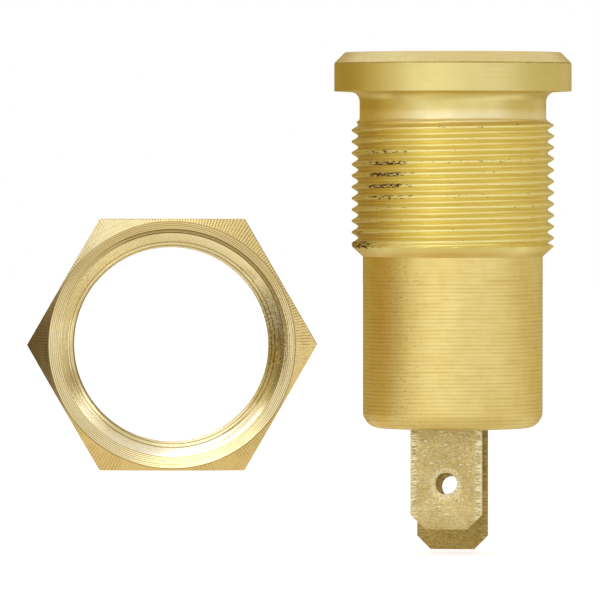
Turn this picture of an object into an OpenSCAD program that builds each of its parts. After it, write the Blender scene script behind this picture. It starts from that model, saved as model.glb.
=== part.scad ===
// Two-pole panel-mount DIN power socket, turned from brass, with its loose hex nut.
// +Z points out of the mouth along the socket's axis. The origin lies on that axis,
// in the plane of the flange's rear face, where the panel sits. All sizes are in mm.

/* [Flange] */
// Diameter of the flange
flange_d = 21; // [20:0.1:28]
// Thickness of the flange
flange_t = 3.45; // [2.6:0.05:6]
// Chamfer round the flange's front edge, measured along the face
flange_chamfer = 0.95; // [0.2:0.05:1.8]
// Chamfer at the mouth of the plug bore
mouth_chamfer = 0.6; // [0.1:0.1:1.5]
// Break on the shell's other turned edges
edge_break = 0.1; // [0.05:0.05:0.2]

/* [Thread] */
// Diameter over the crests of the panel thread
thread_d = 17.9; // [17.4:0.1:18.6]
// Pitch of the thread
pitch = 1; // [0.5:0.25:1.5]
// Depth of the thread, from crest to root
thread_depth = 0.55; // [0.4:0.05:0.65]
// Width of the flat left on each crest
crest_flat = 0.15; // [0.05:0.01:0.2]
// Width of the flat at each root
root_flat = 0.15; // [0.05:0.01:0.2]
// Length of the threaded stretch
thread_l = 10.9; // [6:0.1:14]
// Length of the taper from the last crest down to the tail
thread_runout = 0.9; // [0.3:0.1:2]

/* [Neck] */
// Distance from the panel seat to the first crest
neck_l = 2.8; // [2.2:0.1:6]
// Depth of the neck below the thread's root
neck_relief = 0.15; // [0:0.05:0.5]
// Depth of the flare from the neck up to the first crest
neck_flare = 0.65; // [0.2:0.05:1]
// Height of the small collar right behind the flange
collar_l = 0.35; // [0.1:0.05:1]
// Radial step from the collar down to the neck
collar_step = 0.65; // [0.3:0.05:0.8]
// Radius of the hollow fillet between the collar and the neck
neck_fillet = 1; // [0.8:0.05:1.2]

/* [Tail and bores] */
// Length of the shell behind the panel seat
body_l = 29.75; // [27:0.25:36]
// Radial step from the thread's root down to the plain tail
tail_relief = 0.5; // [0.2:0.05:0.6]
// Wall of the tail round the moulding
tail_wall = 1; // [0.7:0.05:1.2]
// Outer radius of the rolled rear rim
rim_r = 1.6; // [0.8:0.1:1.7]
// Thickness of the rolled lip
lip_t = 0.75; // [0.5:0.05:1.2]
// How far the lip reaches in over the stack
lip_overlap = 0.95; // [0.6:0.05:1.1]
// Diameter of the plug's sleeve
plug_d = 12; // [11:0.1:12.4]
// Radial clearance round the plug's sleeve
plug_fit = 0.05; // [0.02:0.01:0.2]
// Depth of the plug bore, from the flange's face to the moulding
plug_depth = 18.6; // [14:0.1:20]

/* [Moulding] */
// Radial clearance of the moulding and the washers in the tail
stack_fit = 0.05; // [0.02:0.01:0.1]
// Lead chamfer on the moulding's outer edges
mould_chamfer = 0.3; // [0.1:0.05:0.6]
// Funnel round the pin's way in
funnel = 0.9; // [0.3:0.1:1.8]
// Thickness of the web that carries the centre contact
web_t = 1.4; // [1:0.1:3]
// Depth of the rear pocket for the rivetted tab
pocket_depth = 1.9; // [1.6:0.1:3]
// Clearance round the tab in the pocket and in the washer's slot
tab_fit = 0.1; // [0.05:0.05:0.2]
// Thickness of the insulating washer
washer_t = 0.8; // [0.5:0.1:1.5]

/* [Centre contact] */
// Diameter of the plug's pin
pin_d = 5; // [4:0.1:5.6]
// Wall of the slotted sleeve
sleeve_wall = 0.7; // [0.4:0.05:1]
// Radial clearance of the sleeve in the moulding
sleeve_fit = 0.15; // [0.05:0.05:0.4]
// How far the sleeve's front lies behind the moulding's face
contact_recess = 1; // [0.5:0.1:2]
// Thickness of the sleeve's solid base
base_t = 1; // [0.6:0.1:1.5]
// Lead chamfer inside the sleeve's mouth
sleeve_lead = 0.35; // [0.1:0.05:0.35]
// Width of the saw cuts that part the spring fingers
slot_w = 0.6; // [0.3:0.1:1]
// Uncut length of sleeve between the base and the saw cuts
finger_root = 1.5; // [0.5:0.1:2.5]
// Diameter of the rivet stem
stem_d = 3; // [2:0.1:3.6]
// Radial clearance round the rivet stem
stem_fit = 0.05; // [0.02:0.01:0.15]
// Diameter of the peened rivet head
rivet_d = 4.6; // [4.2:0.1:5.6]
// Height of the peened rivet head
rivet_h = 0.7; // [0.4:0.05:0.75]

/* [Tabs] */
// Width of both tabs
tab_w = 6.3; // [5.9:0.1:6.5]
// Thickness of both tabs
tab_t = 0.8; // [0.5:0.05:0.85]
// Distance between the two tabs' middle planes
tab_spacing = 8; // [7.4:0.1:8.4]
// Inner radius of the bends
bend_r = 0.3; // [0.1:0.05:0.4]
// Length of the earth tab behind the shell
earth_l = 8.9; // [7:0.1:14]
// Length of the live tab behind the shell
live_l = 11; // [7:0.1:14]
// Distance from the earth tab's tip to its hole
earth_hole = 4.15; // [3.5:0.05:5]
// Distance from the live tab's tip to its hole
live_hole = 5.55; // [3.5:0.05:6]
// Diameter of the detent hole in each tab
tab_hole_d = 1.9; // [1.2:0.1:2.4]
// Chamfer of the tab's corners at the tip
tab_corner = 1.3; // [0.5:0.05:2]
// Thinning of each face at the tip
tip_thin = 0.15; // [0.05:0.05:0.2]
// Length of the thinned stretch at the tip
tip_lead = 0.5; // [0.2:0.1:1]

/* [Nut] */
// Least wall of the nut, from its thread's root to the flats
nut_wall = 1.99; // [1.5:0.01:4]
// Thickness of the nut
nut_t = 4.5; // [3.6:0.1:8]
// Radial clearance between the two threads
thread_fit = 0.06; // [0.02:0.02:0.15]
// Land left between the countersink and the flats
nut_land = 0.2; // [0.05:0.05:0.5]
// Depth by which the turned chamfer falls away to the nut's corners
corner_drop = 0.5; // [0.1:0.05:1]
// Width of the countersink's shallow outer band
band_w = 0.8; // [0.3:0.05:1]
// Depth of the countersink's shallow outer band
band_depth = 0.3; // [0.1:0.05:0.6]
// Depth of the countersink's cone below the band
cone_depth = 0.95; // [0.4:0.05:1.2]
// Chamfer where the thread starts
entry_chamfer = 0.5; // [0.3:0.02:0.7]
// Chamfer at the nut's rear
rear_chamfer = 0.3; // [0.1:0.05:0.6]
// Place of the loose nut's front face, to the side of the socket's axis
nut_x = -24; // [-40:0.1:-23.4]
// Place of the loose nut's front face, in front of the socket's axis
nut_y = -9.1; // [-15:0.1:5]
// Height of the loose nut's middle
nut_z = -22.4; // [-35:0.1:0]
// Turn of the loose nut about the upright
nut_turn = 5; // [-30:1:30]

/* [Hidden] */
$fn = 96;
eps = 0.01;
arc_steps = 8;

brass = [0.83, 0.69, 0.36];
tab_brass = [0.74, 0.63, 0.38];
moulding_black = [0.12, 0.11, 0.11];
fibre_brown = [0.42, 0.25, 0.15];

// Radii of the shell
flange_r = flange_d / 2;
crest_r = thread_d / 2;
root_r = crest_r - thread_depth;
neck_r = root_r - neck_relief;
collar_r = neck_r + collar_step;
fillet_turn = acos(1 - collar_step / neck_fillet);
fillet_h = neck_fillet * sin(fillet_turn);
tail_r = root_r - tail_relief;
cavity_r = tail_r - tail_wall;
lip_r = cavity_r - lip_overlap;
bore_r = plug_d / 2 + plug_fit;
stack_r = cavity_r - stack_fit;

// Heights along the axis, from the mouth to the rear
shoulder_z = flange_t - plug_depth;
thread_end_z = -neck_l - thread_l;
body_end_z = -body_l;
lip_z = body_end_z + lip_t;
earth_z = lip_z + tab_t;
mould_end_z = earth_z + washer_t;
foot_z = mould_end_z + pocket_depth;
web_z = foot_z + web_t;
contact_z = shoulder_z - contact_recess;

// Centre contact
pin_r = pin_d / 2;
sleeve_r = pin_r + sleeve_wall;
cage_r = sleeve_r + sleeve_fit;
stem_r = stem_d / 2;
stem_hole_r = stem_r + stem_fit;

// Tabs
tab_y = tab_spacing / 2;

// Nut
nut_minor_r = root_r + thread_fit;
nut_major_r = crest_r + thread_fit;
nut_half_af = nut_major_r + nut_wall;
sink_r = nut_half_af - nut_land;
entry_r = nut_minor_r + entry_chamfer;
thread_top = nut_t - band_depth - cone_depth - entry_chamfer;

// Points of an arc about a centre, from angle a to angle b
function arc(centre, r, a, b) =
    [for (i = [0:arc_steps]) let (t = a + (b - a) * i / arc_steps) centre + r * [cos(t), sin(t)]];

// Number of whole grooves that fit a stretch of thread
function grooves(length) = floor((length - crest_flat) / pitch);

// Profile of V grooves cut from radius r_top to radius r_root, going down from height z
function groove_points(r_top, r_root, z, length) =
    let (
        count = grooves(length),
        margin = (length - count * pitch) / 2,
        top_half = (pitch - crest_flat) / 2,
        root_half = root_flat / 2
    )
    [for (i = [0:count - 1]) let (mid = z - margin - pitch * (i + 0.5))
        each [[r_top, mid + top_half], [r_root, mid + root_half],
              [r_root, mid - root_half], [r_top, mid - top_half]]];

// Half section of the shell: up the outside is down the list, then back up the bores
function shell_points() = concat(
    [[bore_r + mouth_chamfer, flange_t],
     [flange_r - flange_chamfer, flange_t],
     [flange_r, flange_t - flange_chamfer],
     [flange_r, edge_break],
     [flange_r - edge_break, 0],
     [collar_r, 0]],
    arc([neck_r + neck_fillet, -collar_l - fillet_h], neck_fillet, 180 - fillet_turn, 180),
    [[neck_r, -neck_l + neck_flare],
     [crest_r, -neck_l]],
    groove_points(crest_r, root_r, -neck_l, thread_l),
    [[crest_r, thread_end_z],
     [tail_r, thread_end_z - thread_runout]],
    arc([tail_r - rim_r, body_end_z + rim_r], rim_r, 0, -90),
    [[lip_r + edge_break, body_end_z],
     [lip_r, body_end_z + edge_break],
     [lip_r, lip_z],
     [cavity_r, lip_z],
     [cavity_r, shoulder_z],
     [bore_r, shoulder_z],
     [bore_r, flange_t - mouth_chamfer]]);

// Turned shell: flange, undercut neck, thread, tail, plug bore and the rim rolled over the stack
module shell() {
    color(brass)
        rotate_extrude()
            polygon(shell_points());
}

// Plan of the live tab's foot, grown by a margin
module foot_plan(margin) {
    circle(r = tab_w / 2 + margin);
    translate([-tab_w / 2 - margin, 0])
        square([tab_w + 2 * margin, tab_y - tab_t / 2 - bend_r]);
}

// Moulding that centres the contact in the tail and keys the live tab in its rear pocket
module insulator() {
    pocket_end = tab_y + tab_t / 2 + tab_fit;
    color(moulding_black)
        difference() {
            rotate_extrude()
                polygon([
                    [cage_r + funnel, shoulder_z],
                    [stack_r - mould_chamfer, shoulder_z],
                    [stack_r, shoulder_z - mould_chamfer],
                    [stack_r, mould_end_z + mould_chamfer],
                    [stack_r - mould_chamfer, mould_end_z],
                    [stem_hole_r, mould_end_z],
                    [stem_hole_r, web_z],
                    [cage_r, web_z],
                    [cage_r, shoulder_z - funnel]]);
            translate([0, 0, mould_end_z - eps])
                linear_extrude(pocket_depth + eps) {
                    circle(r = tab_w / 2 + tab_fit);
                    translate([-tab_w / 2 - tab_fit, 0])
                        square([tab_w + 2 * tab_fit, pocket_end]);
                }
        }
}

// Turned sleeve with four spring fingers, its stem peened over behind the live tab's foot
module centre_contact() {
    head_z = foot_z - tab_t;
    head_round = rivet_h * 0.8;
    color(brass)
        difference() {
            rotate_extrude()
                polygon(concat(
                    [[pin_r + sleeve_lead, contact_z],
                     [sleeve_r - sleeve_lead / 2, contact_z],
                     [sleeve_r, contact_z - sleeve_lead / 2],
                     [sleeve_r, web_z],
                     [stem_r, web_z],
                     [stem_r, head_z],
                     [rivet_d / 2, head_z]],
                    arc([rivet_d / 2 - head_round, head_z - rivet_h + head_round], head_round, 0, -90),
                    [[0, head_z - rivet_h],
                     [0, web_z + base_t],
                     [pin_r, web_z + base_t],
                     [pin_r, contact_z - sleeve_lead]]));
            for (turn = [45, 135])
                rotate(turn)
                    translate([-sleeve_r - eps, -slot_w / 2, web_z + base_t + finger_root])
                        cube([2 * sleeve_r + 2 * eps, slot_w, contact_z - web_z]);
        }
}

// Quarter turn of sheet whose top lies at height top and whose outer face lies at y = face
module sheet_bend(face, top) {
    translate([-tab_w / 2, face - tab_t - bend_r, top - tab_t - bend_r])
        rotate([90, 0, 90])
            rotate_extrude(angle = 90)
                translate([bend_r, 0])
                    square([tab_t, tab_w]);
}

// Upright blade of a tab, from height top down to its chamfered and thinned tip
module blade(y, top, tip, hole) {
    half = tab_w / 2;
    intersection() {
        translate([0, y + tab_t / 2, 0])
            rotate([90, 0, 0])
                linear_extrude(tab_t)
                    difference() {
                        polygon([
                            [-half, top], [-half, tip + tab_corner], [-half + tab_corner, tip],
                            [half - tab_corner, tip], [half, tip + tab_corner], [half, top]]);
                        translate([0, tip + hole])
                            circle(d = tab_hole_d);
                    }
        translate([-half - eps, y, 0])
            rotate([90, 0, 90])
                linear_extrude(tab_w + 2 * eps)
                    polygon([
                        [-tab_t / 2, top], [-tab_t / 2, tip + tip_lead],
                        [-tab_t / 2 + tip_thin, tip], [tab_t / 2 - tip_thin, tip],
                        [tab_t / 2, tip + tip_lead], [tab_t / 2, top]]);
    }
}

// Live tab: a foot rivetted behind the web, a bend, and the longer blade
module live_tab() {
    color(tab_brass) {
        translate([0, 0, foot_z - tab_t])
            linear_extrude(tab_t)
                difference() {
                    foot_plan(0);
                    circle(r = stem_hole_r);
                }
        sheet_bend(tab_y + tab_t / 2, foot_z);
        blade(tab_y, foot_z - tab_t - bend_r, body_end_z - live_l, live_hole);
    }
}

// Fibre washer that closes the pocket, with a slot for the live tab
module insulating_washer() {
    color(fibre_brown)
        translate([0, 0, earth_z])
            linear_extrude(washer_t)
                difference() {
                    circle(r = stack_r);
                    translate([-tab_w / 2 - tab_fit, tab_y - tab_t / 2 - tab_fit])
                        square([tab_w + 2 * tab_fit, tab_t + 2 * tab_fit]);
                }
}

// Earth tab: a ring held under the rolled lip, its tongue bent out into the shorter blade
module earth_tab() {
    tongue_start = stack_r - lip_overlap / 2;
    tongue_end = tab_y + tab_t / 2 + bend_r;
    color(tab_brass) {
        translate([0, 0, lip_z])
            linear_extrude(tab_t) {
                difference() {
                    circle(r = stack_r);
                    circle(r = lip_r);
                }
                intersection() {
                    circle(r = stack_r);
                    translate([-tab_w / 2, -tongue_start])
                        square([tab_w, tongue_start - tongue_end]);
                }
            }
        sheet_bend(-tab_y + tab_t / 2, earth_z);
        blade(-tab_y, lip_z - bend_r, body_end_z - earth_l, earth_hole);
    }
}

// Half section of the nut's threaded hole with its countersink, cut from the hexagon
function nut_hole_points() = concat(
    [[0, nut_t + eps],
     [sink_r, nut_t + eps],
     [sink_r, nut_t],
     [sink_r - band_w, nut_t - band_depth],
     [entry_r, nut_t - band_depth - cone_depth],
     [nut_minor_r, thread_top]],
    groove_points(nut_minor_r, nut_major_r, thread_top, thread_top - rear_chamfer),
    [[nut_minor_r, rear_chamfer],
     [nut_minor_r + rear_chamfer, 0],
     [nut_minor_r + rear_chamfer, -eps],
     [0, -eps]]);

// Loose hex nut, standing apart with its countersunk face to the front
module hex_nut() {
    corner_r = nut_half_af / cos(30);
    color(brass)
        translate([nut_x, nut_y, nut_z])
            rotate([0, 0, nut_turn])
                rotate([90, 0, 0])
                    translate([0, 0, -nut_t])
                        difference() {
                            intersection() {
                                cylinder(r = corner_r, h = nut_t, $fn = 6);
                                rotate_extrude()
                                    polygon([
                                        [0, 0], [corner_r + eps, 0], [corner_r + eps, nut_t - corner_drop],
                                        [sink_r, nut_t], [0, nut_t]]);
                            }
                            rotate_extrude()
                                polygon(nut_hole_points());
                        }
}

shell();
insulator();
centre_contact();
live_tab();
insulating_washer();
earth_tab();
hex_nut();
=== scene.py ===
# %% [markdown]
# # A two-pole power socket in turned brass, with its loose hex nut
# The real socket is a brass tube with a flange, a panel thread and a plain tail. Two flat tabs
# stick out behind it, and a hex nut lies beside it. The imported solids carry the true sizes.
# This script dresses them: it turns finer versions of the brass pieces, cuts a real helix where
# the solids have plain rings, and gives every piece a finish made of shader nodes.

# %% Load the imported frame
import math

import bmesh
import bpy
from mathutils import Matrix, Vector


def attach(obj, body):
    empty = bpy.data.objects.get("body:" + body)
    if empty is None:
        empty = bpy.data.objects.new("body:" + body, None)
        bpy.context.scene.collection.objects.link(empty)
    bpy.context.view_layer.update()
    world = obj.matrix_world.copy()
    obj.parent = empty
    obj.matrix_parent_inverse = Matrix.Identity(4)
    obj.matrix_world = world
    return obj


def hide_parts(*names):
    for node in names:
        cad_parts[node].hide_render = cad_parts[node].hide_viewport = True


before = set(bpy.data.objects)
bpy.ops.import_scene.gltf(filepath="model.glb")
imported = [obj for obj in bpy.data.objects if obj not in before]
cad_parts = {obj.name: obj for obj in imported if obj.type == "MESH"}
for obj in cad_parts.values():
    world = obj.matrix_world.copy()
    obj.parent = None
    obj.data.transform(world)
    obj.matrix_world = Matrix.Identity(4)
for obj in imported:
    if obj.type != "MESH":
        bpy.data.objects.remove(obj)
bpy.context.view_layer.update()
print("nodes:", sorted(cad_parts))

# %% [markdown]
# ## Camera
# A long lens far away flattens the object, as in a catalogue picture. The lens is worked out from
# two facts: the distance and the width of the object plane that fills the square frame.
# The camera stands a few degrees to the right of square on, so the two tabs don't hide each other.

# %% Camera
MM = 0.001
CAMERA_TURN = math.radians(5.3)
CAMERA_DROP = math.radians(1.27)
CAMERA_DISTANCE = 600 * MM
FRAME_WIDTH = 53.1 * MM
SENSOR_WIDTH = 36
LOOK_RIGHT = -13.52 * MM
LOOK_HEIGHT = -18.455 * MM

right = Vector((math.cos(CAMERA_TURN), math.sin(CAMERA_TURN), 0))
ahead = Vector((-math.sin(CAMERA_TURN), math.cos(CAMERA_TURN), 0))
look_at = right * LOOK_RIGHT + Vector((0, 0, LOOK_HEIGHT))
view = ahead * math.cos(CAMERA_DROP) - Vector((0, 0, math.sin(CAMERA_DROP)))

camera_data = bpy.data.cameras.new("product_camera")
camera_data.sensor_width = SENSOR_WIDTH
camera_data.lens = SENSOR_WIDTH * CAMERA_DISTANCE / FRAME_WIDTH
camera_data.clip_start = 0.01
camera = bpy.data.objects.new("product_camera", camera_data)
bpy.context.scene.collection.objects.link(camera)
camera.location = look_at - view * CAMERA_DISTANCE
camera.rotation_euler = view.to_track_quat("-Z", "Y").to_euler()
bpy.context.scene.camera = camera
print("lens", round(camera_data.lens, 1), "mm")

# %% [markdown]
# ## Floor, surroundings and lamps
# Bare brass has almost no colour of its own: it shows what stands round it. So the set matters
# more than the lamps. The surroundings are plain white, and brown cards outside the picture give
# the dark side of the barrel, as a photographer places them beside shiny metal.
# The floor adds a little white of its own for the camera, and it still takes the shadow.

# %% Node helper
class Nodes:
    """Adds and links shader nodes in one tree, so that a finish reads as a few short lines."""

    def __init__(self, tree):
        self.tree = tree

    def add(self, kind, inputs=None, **settings):
        made = self.tree.nodes.new(kind)
        for key, value in settings.items():
            setattr(made, key, value)
        for key, value in (inputs or {}).items():
            self.feed(made.inputs[key], value)
        return made

    def feed(self, socket, value):
        if isinstance(value, bpy.types.NodeSocket):
            self.tree.links.new(value, socket)
        else:
            socket.default_value = value

    def math(self, operation, first, second=0.0, clamp=False):
        made = self.add("ShaderNodeMath", {0: first, 1: second}, operation=operation, use_clamp=clamp)
        return made.outputs[0]

    def vector(self, operation, first, second=(0, 0, 0)):
        made = self.add("ShaderNodeVectorMath", {0: first, 1: second}, operation=operation)
        return made.outputs[0]

    def noise(self, where, scale, detail=3.0, rough=0.55):
        inputs = {"Vector": where, "Scale": scale, "Detail": detail, "Roughness": rough}
        return self.add("ShaderNodeTexNoise", inputs).outputs["Fac"]

    def span(self, value, low, high, to_low=0.0, to_high=1.0):
        inputs = {"Value": value, "From Min": low, "From Max": high, "To Min": to_low, "To Max": to_high}
        made = self.add("ShaderNodeMapRange", inputs, interpolation_type="SMOOTHSTEP")
        return made.outputs["Result"]

    def mix(self, factor, first, second):
        made = self.add("ShaderNodeMix", data_type="RGBA")
        self.feed(made.inputs["Factor"], factor)
        self.feed(made.inputs["A"], first)
        self.feed(made.inputs["B"], second)
        return next(out for out in made.outputs if out.type == "RGBA")

    def bump(self, height, depth, normal=None):
        inputs = {"Height": height, "Distance": depth * MM, "Strength": 1.0}
        if normal is not None:
            inputs["Normal"] = normal
        return self.add("ShaderNodeBump", inputs).outputs["Normal"]


# %% World
WHITE = (1.0, 1.0, 1.0, 1.0)
world = bpy.data.worlds.new("studio")
bpy.context.scene.world = world
world.use_nodes = True
sky = Nodes(world.node_tree)
background = world.node_tree.nodes["Background"]
path = sky.add("ShaderNodeLightPath")
seen = sky.math("ADD", path.outputs["Is Camera Ray"], path.outputs["Is Glossy Ray"])
seen = sky.math("ADD", seen, path.outputs["Is Transmission Ray"], clamp=True)
background.inputs["Color"].default_value = WHITE
sky.feed(background.inputs["Strength"], sky.span(seen, 0, 1, 0.55, 1.0))


# %% Stage sheets
UPRIGHT = Matrix.Rotation(math.pi / 2, 4, "X")
FACING_RIGHT = Matrix.Rotation(math.pi / 2, 4, "Z") @ UPRIGHT
BLACK = (0.0, 0.0, 0.0)


def sheet(name, size, place, turn, colour, glow=BLACK):
    """A flat stage sheet: a grid scaled to size (mm), turned, and moved to its place (mm)."""
    bm = bmesh.new()
    bmesh.ops.create_grid(bm, x_segments=1, y_segments=1, size=0.5)
    bm.transform(Matrix.Diagonal((size[0], size[1], 1, 1)))
    bm.transform(turn)
    bm.transform(Matrix.Translation(Vector(place)))
    bm.transform(Matrix.Scale(MM, 4))
    mesh = bpy.data.meshes.new(name)
    bm.to_mesh(mesh)
    bm.free()
    made = bpy.data.objects.new(name, mesh)
    bpy.context.scene.collection.objects.link(made)
    finish = bpy.data.materials.new(name + "_finish")
    finish.use_nodes = True
    shader = finish.node_tree.nodes["Principled BSDF"]
    shader.inputs["Base Color"].default_value = (*colour, 1)
    shader.inputs["Roughness"].default_value = 0.9
    shader.inputs["Specular IOR Level"].default_value = 0.1
    shader.inputs["Emission Color"].default_value = (*glow, 1)
    shader.inputs["Emission Strength"].default_value = 1.0
    mesh.materials.append(finish)
    return made


# %% Floor
FLOOR_HEIGHT = -41.0
FLOOR_LIFT = 0.6

floor = sheet("floor", (2400, 2400), (0, 0, FLOOR_HEIGHT), Matrix.Identity(4), (0.93, 0.93, 0.93), (1, 1, 1))
floor_tree = floor.data.materials[0].node_tree
floor_nodes = Nodes(floor_tree)
floor_path = floor_nodes.add("ShaderNodeLightPath")
floor_seen = floor_nodes.math("ADD", floor_path.outputs["Is Camera Ray"], floor_path.outputs["Is Glossy Ray"])
floor_seen = floor_nodes.math("ADD", floor_seen, floor_path.outputs["Is Transmission Ray"], clamp=True)
floor_glow = floor_nodes.math("MULTIPLY", floor_seen, FLOOR_LIFT)
floor_nodes.feed(floor_tree.nodes["Principled BSDF"].inputs["Emission Strength"], floor_glow)

# %% Cards
# Each card: size, place, turn, and the colour that the brass shows of it.
LEVEL = Matrix.Identity(4)
CARDS = {
    "left_card": ((245, 260), (-110, 127.5, -35), FACING_RIGHT, (0.42, 0.29, 0.045)),
    "middle_card": ((40, 220), (-110, -15, -35), FACING_RIGHT, (0.63, 0.47, 0.14)),
    "soft_card": ((75, 220), (-110, -72.5, -35), FACING_RIGHT, (0.84, 0.72, 0.42)),
    "back_card": ((300, 600), (0, 300, 100), UPRIGHT, (0.43, 0.33, 0.15)),
    "back_floor_card": ((300, 280), (0, 160, -40.9), LEVEL, (0.56, 0.45, 0.22)),
    "land_card": ((17, 19), (-44.5, -16, -22.5), UPRIGHT, (0.12, 0.09, 0.045)),
    "cone_card": ((11, 16), (-41, -19.5, -21), FACING_RIGHT, (0.12, 0.10, 0.05)),
    "nut_floor_card": ((44, 40), (-30, -34, -40.8), LEVEL, (1.05, 0.96, 0.76)),
    "right_card": ((360, 260), (130, 120, 0), FACING_RIGHT, (0.75, 0.67, 0.46)),
    "top_card": ((66, 110), (21, -15, 24), LEVEL, (0.86, 0.83, 0.74)),
    "floor_card": ((110, 110), (-10, -45, -40.9), LEVEL, (0.82, 0.76, 0.60)),
}
for card_name, (card_size, card_place, card_turn, card_glow) in CARDS.items():
    card = sheet(card_name, card_size, card_place, card_turn, BLACK, card_glow)
    card.visible_camera = False
    card.visible_shadow = False
    card.visible_diffuse = False
    print("card", card_name)


# %% Lamps
def lamp(name, size, place, target, radiance):
    """A square soft lamp at a place (mm) that points at a target (mm), as bright as stated."""
    data = bpy.data.lights.new(name, "AREA")
    data.shape = "SQUARE"
    data.size = size * MM
    data.energy = radiance * math.pi * data.size ** 2
    body = bpy.data.objects.new(name, data)
    bpy.context.scene.collection.objects.link(body)
    body.location = Vector(place) * MM
    aim = Vector(target) * MM - body.location
    body.rotation_euler = aim.to_track_quat("-Z", "Y").to_euler()
    body.visible_camera = False
    print("lamp", name, round(data.energy, 3), "W")
    return body


OBJECT_MIDDLE = (-10, 0, -18)
NUT_MIDDLE = (-24, -9, -22)
lamp("key_lamp", 400, (-100, -520, 370), OBJECT_MIDDLE, 1.7)
nut_lamps = [lamp("nut_lamp", 84, (-56, -16, 42), NUT_MIDDLE, 1.4),
             lamp("cone_lamp", 40, (22, -18, 26), NUT_MIDDLE, 3.0),
             lamp("bounce_lamp", 26, (24, -20, -24), NUT_MIDDLE, 1.3)]

# %% [markdown]
# ## Turning helpers
# Most of the socket is turned, so its pieces start as a half section: a wire of points in the
# plane of the radius and the axis. Rounding a wire's points with a vertex bevel is quicker than
# rounding edges of the finished solid. A spin then carries the wire round the axis.
# All meshes are made in millimetres and become metres only when they are finished.

# %% Half sections and spins
TURN_STEPS = 240
SECTORS = 8
MERGE = 0.0004
SNAP = 0.002
SHARP_ANGLE = math.radians(32)


def section(points, rounds=None, segments=3):
    """A wire through (radius, height) points, rounded at the points named in rounds."""
    bm = bmesh.new()
    verts = [bm.verts.new((radius, 0, height)) for radius, height in points]
    for pair in zip(verts, verts[1:]):
        bm.edges.new(pair)
    for index, offset in (rounds or {}).items():
        bmesh.ops.bevel(bm, geom=[verts[index]], offset=offset, offset_type="OFFSET", segments=segments,
                        profile=0.5, affect="VERTICES", clamp_overlap=False, material=-1)
    return bm


def spin_wire(bm, rise=0.0):
    """Carries a wire once round the axis; with a rise it climbs as a right-hand screw does.

    One sector is spun and the others are turned copies of it, which is far quicker than 240 steps."""
    sector = 2 * math.pi / SECTORS
    steps = TURN_STEPS // SECTORS
    bmesh.ops.spin(bm, geom=[*bm.verts, *bm.edges], cent=(0, 0, 0), axis=(0, 0, 1),
                   dvec=(0, 0, rise / TURN_STEPS), angle=sector, space=Matrix.Identity(4), steps=steps,
                   use_merge=False, use_normal_flip=False, use_duplicate=False)
    first = [*bm.verts, *bm.edges, *bm.faces]
    for index in range(1, SECTORS):
        copied = bmesh.ops.duplicate(bm, geom=first)["geom"]
        verts = [item for item in copied if isinstance(item, bmesh.types.BMVert)]
        bmesh.ops.rotate(bm, verts=verts, cent=(0, 0, 0), matrix=Matrix.Rotation(sector * index, 3, "Z"))
        bmesh.ops.translate(bm, verts=verts, vec=(0, 0, rise * index / SECTORS))
    bmesh.ops.remove_doubles(bm, verts=bm.verts, dist=MERGE)


def join(bm, part):
    """Adds one mesh in the making to another."""
    carrier = bpy.data.meshes.new("carrier")
    part.to_mesh(carrier)
    part.free()
    bm.from_mesh(carrier)
    bpy.data.meshes.remove(carrier)


def add_turned(bm, points, rounds=None, segments=3):
    """A half section and its full spin, as a part of a bigger mesh."""
    part = section(points, rounds, segments)
    spin_wire(part)
    join(bm, part)


def add_helix(bm, top_r, low_r, pitch, crest, root, start, stop, limit, flank_points=0):
    """A screw thread between two heights. limit(radius, height) trims it where the body tapers.

    Extra points on the flanks let a curved limit show."""
    flank = (pitch - crest - root) / 2
    count = math.ceil((start - stop) / pitch) + 3
    points = []
    corners = []
    for turn in range(count):
        z = start + pitch - turn * pitch
        profile = [(top_r, z), (top_r, z - crest), (low_r, z - crest - flank), (low_r, z - crest - flank - root),
                   (top_r, z - pitch)]
        for first, last in zip(profile, profile[1:]):
            corners.append(len(points))
            points.append(first)
            extra = flank_points if first[0] != last[0] else 0
            for step in range(1, extra + 1):
                share = step / (extra + 1)
                points.append((first[0] + share * (last[0] - first[0]), first[1] + share * (last[1] - first[1])))
    rounds = {index: 0.045 for index in corners[1:-1]}
    part = section(points, rounds, segments=2)
    spin_wire(part, rise=pitch)
    for vert in part.verts:
        height = stop if vert.co.z < stop + SNAP else min(vert.co.z, start)
        radius = math.hypot(vert.co.x, vert.co.y)
        factor = limit(radius, height) / radius
        vert.co = (vert.co.x * factor, vert.co.y * factor, height)
    join(bm, part)


def close_piece(bm, name, material, slot, *replaced):
    bmesh.ops.remove_doubles(bm, verts=bm.verts, dist=MERGE)
    bmesh.ops.dissolve_degenerate(bm, dist=MERGE, edges=bm.edges)
    bmesh.ops.recalc_face_normals(bm, faces=bm.faces)
    for face in bm.faces:
        face.smooth = True
    for edge in bm.edges:
        edge.smooth = len(edge.link_faces) == 2 and edge.calc_face_angle(0) < SHARP_ANGLE
    open_edges = sum(1 for edge in bm.edges if len(edge.link_faces) != 2)
    triangles = sum(len(face.verts) - 2 for face in bm.faces)
    bm.transform(Matrix.Scale(MM, 4))
    mesh = bpy.data.meshes.new(name)
    bm.to_mesh(mesh)
    bm.free()
    mesh.materials.append(material)
    piece = bpy.data.objects.new(name, mesh)
    bpy.context.scene.collection.objects.link(piece)
    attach(piece, "root")
    if replaced:
        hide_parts(*replaced)
    print(name, "triangles", triangles, "open edges", open_edges)
    return piece


# %% [markdown]
# ## Brass finishes
# Turned brass is smooth along the tool's path and rough across it. Two things show that: an
# anisotropic shader whose tangent runs round the axis, and a faint bump that follows the feed of
# the tool, one line for each turn of the work. Slow noise changes the colour and the gloss, because
# handled brass is never even.

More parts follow.
